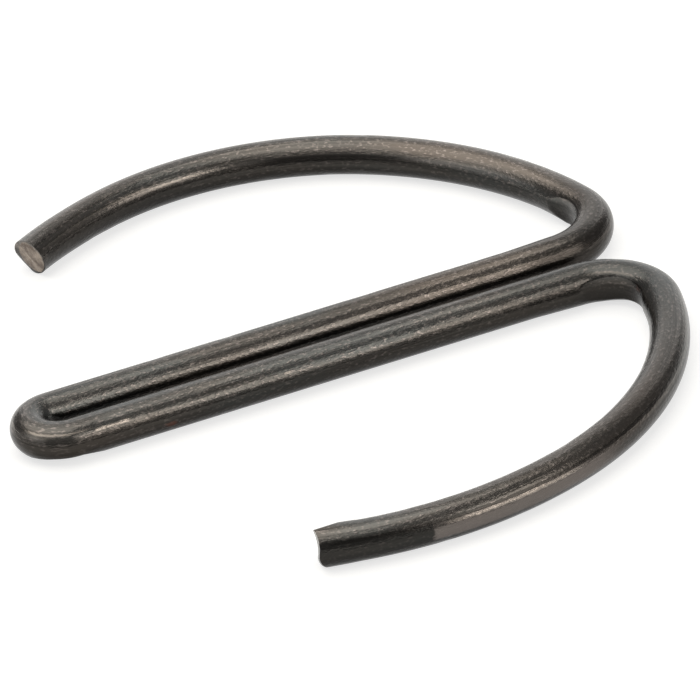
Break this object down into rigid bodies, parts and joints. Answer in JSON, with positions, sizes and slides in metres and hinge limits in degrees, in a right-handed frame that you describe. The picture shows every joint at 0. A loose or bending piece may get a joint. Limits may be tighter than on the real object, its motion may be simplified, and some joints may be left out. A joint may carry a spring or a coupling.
{
  "type": "socket retaining ring",
  "caption": "Bent spring wire that snaps into an impact socket's groove: an open ring in two halves, joined by a pair of parallel legs that act as the cross pin.",
  "frame": {"origin": "on the socket's axis, in the plane of the wire's centre line, midway along the pair of legs", "axes": "+Z along the socket's axis, +X along the legs away from the hairpin, +Y towards the half ring that starts at the longer leg"},
  "size_m": [0.0415, 0.0487, 0.0026],
  "materials": {
    "oxidised_spring_steel": "hard-drawn spring wire with a dark oil-tempered oxide, satin, with lengthwise draw lines, brown specks and light rubbed streaks; bare shear faces at both ends"
  },
  "bodies": {
    "root": {"retaining_ring": "oxidised_spring_steel"}
  },
  "joints": []
}
